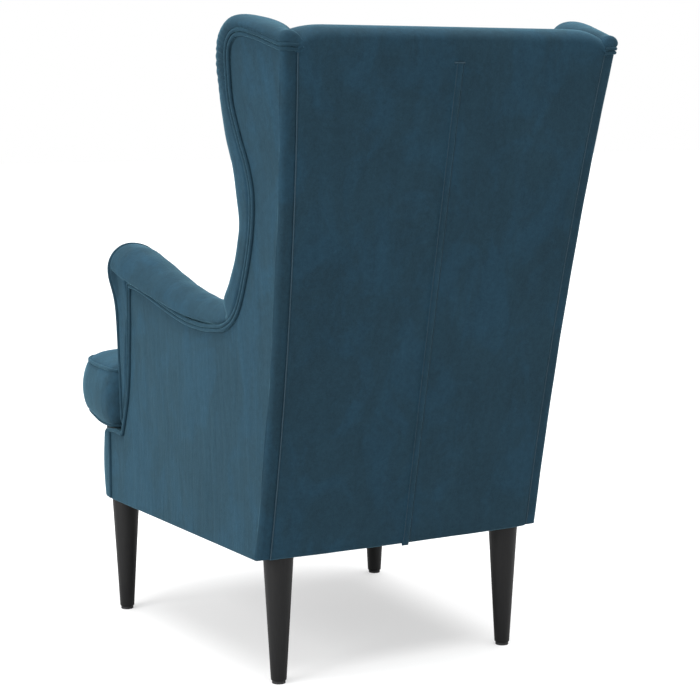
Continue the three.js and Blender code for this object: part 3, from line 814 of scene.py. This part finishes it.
# ---- outside back ----
def cover_top_z(x):
    """The top edge drops a little at its rounded corners."""
    edge = max(0.0, abs(x) - 0.205) / 0.068
    return BACK_TOP - 0.014 * edge ** 3.2


def back_profile():
    """(y, z) of the outside back, from under the hem over the top edge."""
    profile = [(back_y(HEM) - 0.030, HEM - 0.0015), (back_y(HEM) - 0.012, HEM - 0.002),
               (back_y(HEM) - 0.003, HEM - 0.0015), (back_y(HEM) - 0.0005, HEM + 0.001)]
    rise = BACK_TOP - TOP_ROUNDING - HEM
    profile += [(back_y(HEM + rise * k / 95), HEM + rise * k / 95) for k in range(1, 96)]
    y, z = profile[-1]
    for k in range(1, 11):
        angle = (math.pi / 2 + 0.2) * k / 10 - 0.2
        profile.append((y + TOP_ROUNDING * (math.cos(angle) - 0.98),
                        z + 0.0048 + TOP_ROUNDING * 0.62 * math.sin(angle)))
    y, z = profile[-1]
    profile += [(y - 0.007 * k, z - 0.00012 * k * k) for k in range(1, 5)]
    y, z = profile[-1]
    profile += [(y - 0.005 * math.sin(k * 0.4), z - 0.006 * k) for k in range(1, 5)]
    return profile


def outside_back():
    """One cover from the hem to the top edge, with its placket left to the flap."""
    columns = [-1 + 2 * k / 120 for k in range(121)]
    rows = []
    for y, z in back_profile():
        on_rear = z < TOP_SEAM
        half = seam_x(min(z, BACK_TOP - 0.03)) + 0.0012
        behind = ease((y - LEG_LINE - 0.090) / 0.075)
        half = half if on_rear else mix(inner_x(y, min(z, 1.0)) + 0.012, half, behind)
        row = []
        for u in columns:
            x = half * u
            middle = 1 - u * u
            drop = 0.0 if on_rear else BACK_TOP - cover_top_z(x)
            place = Vector((x, y, z - drop))
            still = ease((abs(x) - 0.012) / 0.05)
            lift = BULGE * middle + 0.0012
            lift += still * (soft(place, 0.13, 0.0022) + soft(place + Vector((0, 0, 9)), 0.045, 0.0008)) \
                * ease((1 - abs(u)) / 0.08)
            lift -= 0.0012 * ease((abs(u) - 0.992) / 0.008)
            place.y += lift * (1.0 if on_rear else 0.6)
            row.append(place)
        rows.append(row)
    piece = lay("outside_back_cover", rows)
    thickened(piece, 0.0022, Vector((0, 1, 0)))
    settle(smooth(piece), VELVET,
           stands_for=["outside_back_left", "outside_back_right", "placket_end"])


def placket():
    """The lap that covers the zip: a narrow raised strip, two rows of stitching and a bar tack."""
    length = PLACKET_TOP - HEM
    profile = [(-0.0062, -0.0010), (-0.0060, 0.0006), (-0.0052, 0.0013), (0.0, 0.0014), (0.0048, 0.0013),
               (0.0056, 0.0009), (0.0062, -0.0004)]
    rows = []
    for k in range(121):
        z = HEM - 0.0045 + (length + 0.0045) * k / 120
        base = back_y(z) + BULGE + 0.0013
        wave = 0.0002 * noise.noise(Vector((0, 0, z / 0.03)))
        rows.append([Vector((x + wave, base + lift, z)) for x, lift in profile])
    flap = lay("placket_lap", rows)
    thickened(flap, 0.0009, Vector((0, 1, 0)))
    settle(smooth(flap), VELVET, stands_for=["placket_flap"])
    for label, x in (("left", 0.0046), ("right", -0.0074)):
        route = []
        for k in range(160):
            z = HEM + 0.002 + (length - 0.004) * k / 159
            proud = 0.0030 if label == "left" else 0.0016
            route.append(Vector((x, back_y(z) + BULGE + proud, z)))
        settle(tube(f"placket_stitching_{label}", route, 0.00045, 6), THREAD)
    z = PLACKET_TOP
    bar = [Vector((x, back_y(z) + BULGE + 0.0026 - 12 * x * x, z + 0.0003 * math.sin(x * 2500)))
           for x in [-0.009 + 0.018 * k / 24 for k in range(25)]]
    settle(tube("placket_bar_tack", bar, 0.0010, 8), THREAD)


def rear_seams():
    """A thin fold along each side seam of the outside back."""
    for name, side in SIDES.items():
        route = []
        for k in range(200):
            z = mix(HEM + 0.001, TOP_SEAM, k / 199)
            wave = 0.0003 * noise.noise(Vector((side, 0, z / 0.04)))
            route.append(Vector((side * (seam_x(z) + 0.0016 + wave), back_y(z) + 0.0004, z)))
        settle(tube(f"rear_seam_{name}", route, 0.0009, 8), THREAD)


# ---- inside back ----
def rest_y(z):
    """The front face of the inside back at its sides."""
    return LEG_LINE - 0.129 + 0.272 * (z - DECK_TOP)


def inside_back():
    """The crowned pad that the sitter leans on."""
    rows = []
    top = BACK_TOP - 0.015
    for k in range(61):
        t = k / 60
        z = mix(DECK_TOP + 0.001, top, t)
        front = rest_y(z)
        rounding = 0.060 * ease((t - 0.90) / 0.10) ** 1.3
        half = inner_x(front + 0.05, min(z, 1.0)) + 0.007
        rear = back_y(z) - 0.046
        row = []
        for j in range(49):
            u = -1 + 2 * j / 48
            crown = 0.030 * (1 - abs(u) ** 2.6) * math.sin(math.pi * min(1.0, 0.12 + t * 0.98)) ** 0.6
            place = Vector((half * u, front + rounding - crown, z))
            place.y += soft(place, 0.15, 0.003)
            row.append(place)
        for j in range(12):
            u = 1 - 2 * (j + 0.5) / 12
            row.append(Vector((half * u, rear, z)))
        rows.append(row)
    piece = lay("inside_back", capped(rows), around=True)
    faced_out(piece)
    def hold(p):
        at_side = abs(p.x) > inner_x(p.y, min(p.z, 1.0)) - 0.010
        behind = p.y > rest_y(p.z) + 0.012
        return 1.0 if at_side or behind or p.z < DECK_TOP + 0.03 else 0.0
    piece = puffed(piece, 0.007, 3.0, 0.010, hold)
    settle(smooth(piece, 60), VELVET, stands_for=["inside_back_pad"])


# ---- cloth ----
def puffed(piece, voxel, pressure, cap, pinned=None):
    """Remeshes a closed piece, lets it swell under pressure as filled cloth and returns it smoothed."""
    name = piece.name
    modifier(piece, "REMESH", mode="VOXEL", voxel_size=voxel)
    start = [v.co.copy() for v in piece.data.vertices]
    if pinned:
        group = piece.vertex_groups.new(name="held")
        for v in piece.data.vertices:
            group.add([v.index], pinned(v.co), "REPLACE")
    cloth = piece.modifiers.new("Cloth", "CLOTH")
    cloth.settings.use_pressure = True
    cloth.settings.uniform_pressure_force = pressure
    cloth.settings.effector_weights.gravity = 0
    cloth.settings.tension_stiffness = 30
    cloth.settings.compression_stiffness = 30
    cloth.settings.bending_stiffness = 0.6
    cloth.settings.quality = 5
    if pinned:
        cloth.settings.vertex_group_mass = "held"
    cloth.point_cache.frame_start, cloth.point_cache.frame_end = 1, 20
    for step in range(1, 21):
        scene.frame_set(step)
    seen = piece.evaluated_get(bpy.context.evaluated_depsgraph_get()).to_mesh()
    ends = [v.co.copy() for v in seen.vertices]
    only(piece)
    bpy.ops.object.modifier_remove(modifier=cloth.name)
    scene.frame_set(1)
    for v, a, b in zip(piece.data.vertices, start, ends):
        move = b - a
        v.co = a + move * min(1.0, cap / max(move.length, 1e-9))
    piece.vertex_groups.clear()
    modifier(piece, "SMOOTH", factor=0.5, iterations=7)
    refine(piece)
    piece.name = name
    return piece


# ---- loose seat cushion ----
EAR_RADIUS = 0.066
EAR_REAR = LEG_LINE - 0.486
CUSHION_WELT_Z = (CUSHION_LO.z + 0.0015, 0.4350)


def cushion_outline(grow=0.0):
    """The T-shaped outline of the cushion's top and bottom faces, as (x, y) in short steps."""
    front = CUSHION_LO.y + 0.012 - grow
    rear = CUSHION_HI.y + grow
    ear = 0.284 + grow
    neck = ARM_IN - 0.004 + grow
    corner = EAR_RADIUS + grow
    half = [(0.0, front), (ear - corner, front)]
    for k in range(1, 9):
        a = math.radians(-90 + 90 * k / 8)
        half.append((ear - corner + corner * math.cos(a), front + corner + corner * math.sin(a)))
    for k in range(0, 6):
        a = math.radians(90 * k / 5)
        half.append((ear - 0.022 + 0.022 * math.cos(a), EAR_REAR + grow - 0.022 + 0.022 * math.sin(a)))
    turn = EAR_REAR + grow
    half += [(neck + 0.010, turn), (neck + 0.003, turn + 0.003), (neck, turn + 0.010), (neck, rear - 0.030)]
    for k in range(1, 6):
        a = math.radians(90 * k / 5)
        half.append((neck - 0.030 + 0.030 * math.cos(a), rear - 0.030 + 0.030 * math.sin(a)))
    outline = half + [(-x, y) for x, y in reversed(half[1:])]
    outline.append(outline[0])
    steps = []
    for (xa, ya), (xb, yb) in zip(outline, outline[1:]):
        parts = max(1, round(math.hypot(xb - xa, yb - ya) / 0.008))
        steps += [(mix(xa, xb, k / parts), mix(ya, yb, k / parts)) for k in range(parts)]
    return steps


def ear_lift(x, y):
    """How far a front corner of the cushion stands up, as its padding pushes the corner out."""
    return 0.006 * math.exp(-((abs(x) - 0.270) ** 2 + (y - CUSHION_LO.y - 0.030) ** 2) / 0.045 ** 2)


def under_lift(y):
    """How far the underside of the cushion rises towards its front edge."""
    return 0.0095 * ease((EAR_REAR - 0.045 - y) / 0.08)


def tree_of(points):
    """A search tree that finds the nearest of some (x, y) points."""
    tree = KDTree(len(points))
    for k, (x, y) in enumerate(points):
        tree.insert((x, y, 0), k)
    tree.balance()
    return tree


def reach_from(outline):
    """A function that says how far inside the outline a point lies."""
    fine = []
    for (xa, ya), (xb, yb) in zip(outline, outline[1:] + outline[:1]):
        fine += [(mix(xa, xb, k / 8), mix(ya, yb, k / 8)) for k in range(8)]
    tree = tree_of(fine)
    return lambda x, y: tree.find((x, y, 0))[2]


def seat_cushion():
    """Box cushion: raised from its outline, crowned, swelled as cloth, then edged with two welts."""
    outline = cushion_outline()
    reach = reach_from(outline)
    low, high = CUSHION_WELT_Z
    core = tree_of(cushion_outline(-0.030))
    deselect()
    bpy.ops.mesh.primitive_circle_add(vertices=len(outline), radius=0.2, fill_type="NGON")
    piece = bpy.context.object
    piece.name = "seat_cushion_cover"
    for v, (x, y) in zip(piece.data.vertices, outline):
        v.co = Vector((x, y, low))
    edit(piece)
    bpy.ops.mesh.extrude_region_move(TRANSFORM_OT_translate={"value": (0, 0, high - low)})
    bpy.ops.mesh.select_all(action="SELECT")
    bpy.ops.mesh.normals_make_consistent(inside=False)
    out()
    modifier(piece, "REMESH", mode="VOXEL", voxel_size=0.006)
    for v in piece.data.vertices:
        inside = reach(v.co.x, v.co.y)
        share = (v.co.z - low) / (high - low)
        crown = 0.024 * (1 - math.exp(-inside / 0.030)) * ease((share - 0.55) / 0.45)
        raised = mix(under_lift(v.co.y), ear_lift(v.co.x, v.co.y), share)
        bulge = 0.0140 * math.sin(math.pi * min(1.0, max(0.0, share))) ** 0.7 * math.exp(-inside / 0.03)
        free = 1.0 if v.co.y < EAR_REAR + 0.02 else 0.25
        away = v.co.xy - core.find((v.co.x, v.co.y, 0))[0].xy
        away.normalize()
        v.co += Vector((away.x, away.y, 0)) * bulge * free
        v.co.z += crown + raised
    def hold(p):
        near = min(abs(p.z - low), abs(p.z - high - ear_lift(p.x, p.y)))
        edge = reach(p.x, p.y) < 0.007
        under = p.z < low + 0.004
        return 1.0 if (edge and near < 0.007) or under else 0.0
    piece = puffed(piece, 0.006, 4.0, 0.022, hold)
    floor_z = DECK_TOP + 0.0008
    for v in piece.data.vertices:
        v.co.z = max(v.co.z, floor_z)
    settle(smooth(piece, 80), VELVET, CUSHION, ["seat_cushion"])
    skin = BVHTree.FromPolygons([v.co for v in piece.data.vertices],
                                [p.vertices for p in piece.data.polygons])
    for label, z in (("bottom", low + 0.0025), ("top", high)):
        route = []
        for x, y in outline:
            raised = under_lift(y) if label == "bottom" else ear_lift(x, y)
            near, normal, _, _ = skin.find_nearest(Vector((x, y, z + raised)))
            flat = Vector((normal.x, normal.y, 0))
            flat = flat.normalized() if flat.length > 1e-4 else Vector((0, 0, 0))
            route.append(near + flat * 0.0012)
        neighbours = zip(route[-1:] + route[:-1], route, route[1:] + route[:1])
        route = [(a + b * 2 + c) / 4 for a, b, c in neighbours]
        settle(tube(f"cushion_welt_{label}", route, WELT, 12, closed=True), WELT_VELVET, CUSHION)


# ---- front of the base ----
LIP_Z = 0.3285


def border_path():
    """(x, y) round the front of the base from the left joint to the right joint."""
    x_side = side_x(LEG_LINE + BORDER_JOINT, HEM)
    front = BORDER_LO.y
    r = 0.040
    half = [(x_side, LEG_LINE - 0.4982 - 0.004 * k) for k in range(4)]
    for k in range(13):
        a = math.radians(-90 * k / 12)
        half.append((x_side - r + r * math.cos(a), front + r + r * math.sin(a)))
    straight = 40
    x_end = x_side - r
    middle = [(mix(x_end, -x_end, k / straight), front) for k in range(1, straight)]
    return half + middle + [(-x, y) for x, y in reversed(half)]


def front_border():
    """The band round the front of the base, its turned hem and the lip at its top edge."""
    path = border_path()
    top = BORDER_HI.z + 0.003
    levels = [(HEM - 0.002, -0.026), (HEM - 0.0022, -0.014), (HEM - 0.002, -0.004), (HEM - 0.0008, -0.0008)]
    levels += [(mix(HEM + 0.001, top - 0.006, k / 20), 0.0) for k in range(21)]
    levels += [(top - 0.002, -0.0012), (top, -0.005), (top + 0.0006, -0.012), (top, -0.022)]
    rows = []
    for z, inset in levels:
        row = []
        for x, y in path:
            inward = Vector((-x, LEG_LINE - 0.30 - y)).normalized()
            if abs(x) > 0.235 and y > BORDER_LO.y + 0.035:
                inward = Vector((-math.copysign(1, x), 0))
            elif abs(x) < 0.24:
                inward = Vector((0, 1))
            lean = side_x(LEG_LINE + BORDER_JOINT, z) - side_x(LEG_LINE + BORDER_JOINT, HEM)
            place = Vector((x + math.copysign(lean, x) * ease((abs(x) - 0.2) / 0.06), y, z))
            place += Vector((*(inward * -inset), 0))
            share = max(0, min(1, (z - HEM) / (top - HEM)))
            puff = soft(place, 0.12, 0.0016) + 0.003 * math.sin(math.pi * share)
            place += Vector((*(inward * -puff), 0)) * (1.0 if inset == 0 else 0.0)
            row.append(place)
        rows.append(row)
    piece = lay("front_border_cover", rows)
    thickened(piece, CLOTH, Vector((0, -1, 0)))
    settle(smooth(piece), VELVET, stands_for=["front_border"])
    for name, side in SIDES.items():
        route = [on_side(-0.4982, mix(HEM + 0.001, top + 0.001, k / 40), side, 0.0008) for k in range(41)]
        settle(tube(f"border_welt_{name}", route, 0.0032, 10), WELT_VELVET)
        lip = []
        for k in range(25):
            z = LIP_Z + 0.002 * math.sin(k / 24 * math.pi)
            lip.append(on_side(mix(-0.4985, -0.448, k / 24), z, side, 0.0006))
        lip.append(on_side(-0.448, LIP_Z, side, -0.014))
        settle(tube(f"deck_lip_{name}", lip, 0.0034, 10), WELT_VELVET)
        rows = []
        for inward in (0.0015, 0.008, 0.018, 0.030, 0.044, 0.056, 0.080):
            rows.append([on_side(mix(-0.5080, -0.425, k / 16), 0.3290 + 0.0006 * math.sin(k), side, -inward)
                         for k in range(17)])
        shelf = lay(f"deck_edge_{name}", rows)
        thickened(shelf, 0.0015, Vector((0, 0, 1)))
        settle(smooth(shelf), VELVET)


# ---- legs ----
LEG_EXTRA = 0.0012
LEG_TAPER = 0.513


def legs():
    """Turned from a cylinder: tapered, eased at the top and chamfered at the foot."""
    for place in ("rear_left", "rear_right", "front_left", "front_right"):
        lo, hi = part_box(f"leg_{place}")
        x, y = (lo.x + hi.x) / 2, (lo.y + hi.y) / 2
        top_radius = (hi.x - lo.x) / 2 + LEG_EXTRA
        deselect()
        bpy.ops.mesh.primitive_cylinder_add(
            vertices=56, radius=top_radius, depth=hi.z - lo.z, location=(x, y, (lo.z + hi.z) / 2))
        piece = bpy.context.object
        piece.name = f"turned_leg_{place}"
        bpy.ops.object.transform_apply(location=True)
        edit(piece)
        bpy.ops.mesh.bisect(plane_co=(x, y, lo.z + 0.05), plane_no=(0, 0, 1))
        out()
        for v in piece.data.vertices:
            share = (v.co.z - lo.z) / (hi.z - lo.z)
            scale = mix(LEG_TAPER, 1.0, share)
            v.co.x = x + (v.co.x - x) * scale
            v.co.y = y + (v.co.y - y) * scale
        edit(piece)
        bpy.ops.mesh.select_all(action="DESELECT")
        out()
        for p in piece.data.polygons:
            p.select = abs(p.normal.z) > 0.9
        bpy.ops.object.mode_set(mode="EDIT")
        bpy.ops.mesh.select_mode(type="FACE")
        bpy.ops.mesh.bevel(offset=0.0022, segments=3, affect="EDGES")
        out()
        settle(smooth(piece, 40), BLACK_WOOD, stands_for=[f"leg_{place}"])


# ---- zip slider ----
def zip_slider():
    """The zip's slider with its short pull, which stands out below the hem."""
    lo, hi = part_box("zip_slider")
    deselect()
    bpy.ops.mesh.primitive_cube_add(size=1, location=(lo + hi) / 2)
    piece = bpy.context.object
    piece.name = "zip_slider_and_pull"
    piece.scale = (0.0074, 0.0030, 0.010)
    bpy.ops.object.transform_apply(location=True, rotation=True, scale=True)
    for v in piece.data.vertices:
        v.co.z += 0.0025
        v.co.y += BACK_RAKE * (v.co.z - (lo.z + hi.z) / 2) * 0.9
    modifier(piece, "BEVEL", width=0.0009, segments=3)
    deselect()
    bpy.ops.mesh.primitive_cube_add(size=1, location=((lo.x + hi.x) / 2, lo.y + 0.0022, lo.z + 0.004))
    pull = bpy.context.object
    pull.scale = (0.0056, 0.0013, 0.0084)
    bpy.ops.object.transform_apply(location=True, rotation=True, scale=True)
    modifier(pull, "BEVEL", width=0.0005, segments=2)
    only(piece)
    pull.select_set(True)
    bpy.ops.object.join()
    settle(smooth(piece, 40), NYLON, ZIP, ["zip_slider"])


# ---- room ----
def studio():
    """Pale floor that glows a little to the camera, white surroundings and two large soft lights."""
    deselect()
    bpy.ops.mesh.primitive_plane_add(size=40)
    floor = bpy.context.object
    floor.name = "floor"
    paint, _, shader = finish_named("pale floor", Roughness=0.9)
    shader.inputs["Base Color"].default_value = (0.55, 0.55, 0.55, 1)
    shader.inputs["Emission Color"].default_value = (1, 1, 1, 1)
    seen_floor = node(paint.node_tree, "LightPath").outputs["Is Camera Ray"]
    glow = math_node(paint.node_tree, "MULTIPLY", seen_floor, 0.45)
    paint.node_tree.links.new(glow, shader.inputs["Emission Strength"])
    floor.data.materials.append(paint)
    world = bpy.data.worlds.new("studio")
    scene.world = world
    world.use_nodes = True
    tree = world.node_tree
    fill = tree.nodes["Background"]
    fill.inputs["Color"].default_value = (1, 1, 1, 1)
    fill.inputs["Strength"].default_value = 0.68
    backdrop = node(tree, "Background", {"Color": (1, 1, 1, 1), "Strength": 1.0})
    seen = node(tree, "LightPath").outputs["Is Camera Ray"]
    both = node(tree, "MixShader", {0: seen, 1: fill.outputs[0], 2: backdrop.outputs[0]})
    tree.links.new(both.outputs[0], tree.nodes["World Output"].inputs["Surface"])
    ceiling = bpy.data.lights.new("ceiling", "SUN")
    ceiling.energy, ceiling.angle = 3.7, math.radians(60)
    sky = bpy.data.objects.new("ceiling", ceiling)
    scene.collection.objects.link(sky)
    key = bpy.data.lights.new("window side", "AREA")
    key.size, key.energy = 2.2, 90
    lamp = bpy.data.objects.new("window side", key)
    lamp.location = (3.4, 0.6, 2.0)
    lamp.rotation_euler = (Vector((0, 0, 0.5)) - lamp.location).to_track_quat("-Z", "Y").to_euler()
    scene.collection.objects.link(lamp)
    scene.view_settings.view_transform = "Standard"


def camera():
    """Behind the chair on the sitter's left, at the height of the wings."""
    data = bpy.data.cameras.new("camera")
    data.lens = 94.81
    data.sensor_width = 36
    data.shift_y = -0.10
    eye = bpy.data.objects.new("camera", data)
    eye.location = (1.4845, LEG_LINE + 2.5118, 0.9212)
    tilt = math.radians(5.811)
    heading = Vector((-0.48752, -0.87311, 0))
    aim = heading * math.cos(tilt) - Vector((0, 0, math.sin(tilt)))
    eye.rotation_euler = aim.to_track_quat("-Z", "Y").to_euler()
    scene.collection.objects.link(eye)
    scene.camera = eye


camera()
studio()
finish_cad_nodes()
legs()
for label, sign in SIDES.items():
    side_panel(label, sign)
    wing_roll(label, sign)
    inside_wing(label, sign)
    arm(label, sign)
    side_welts(label, sign)
outside_back()
rear_seams()
placket()
inside_back()
front_border()
seat_cushion()
zip_slider()
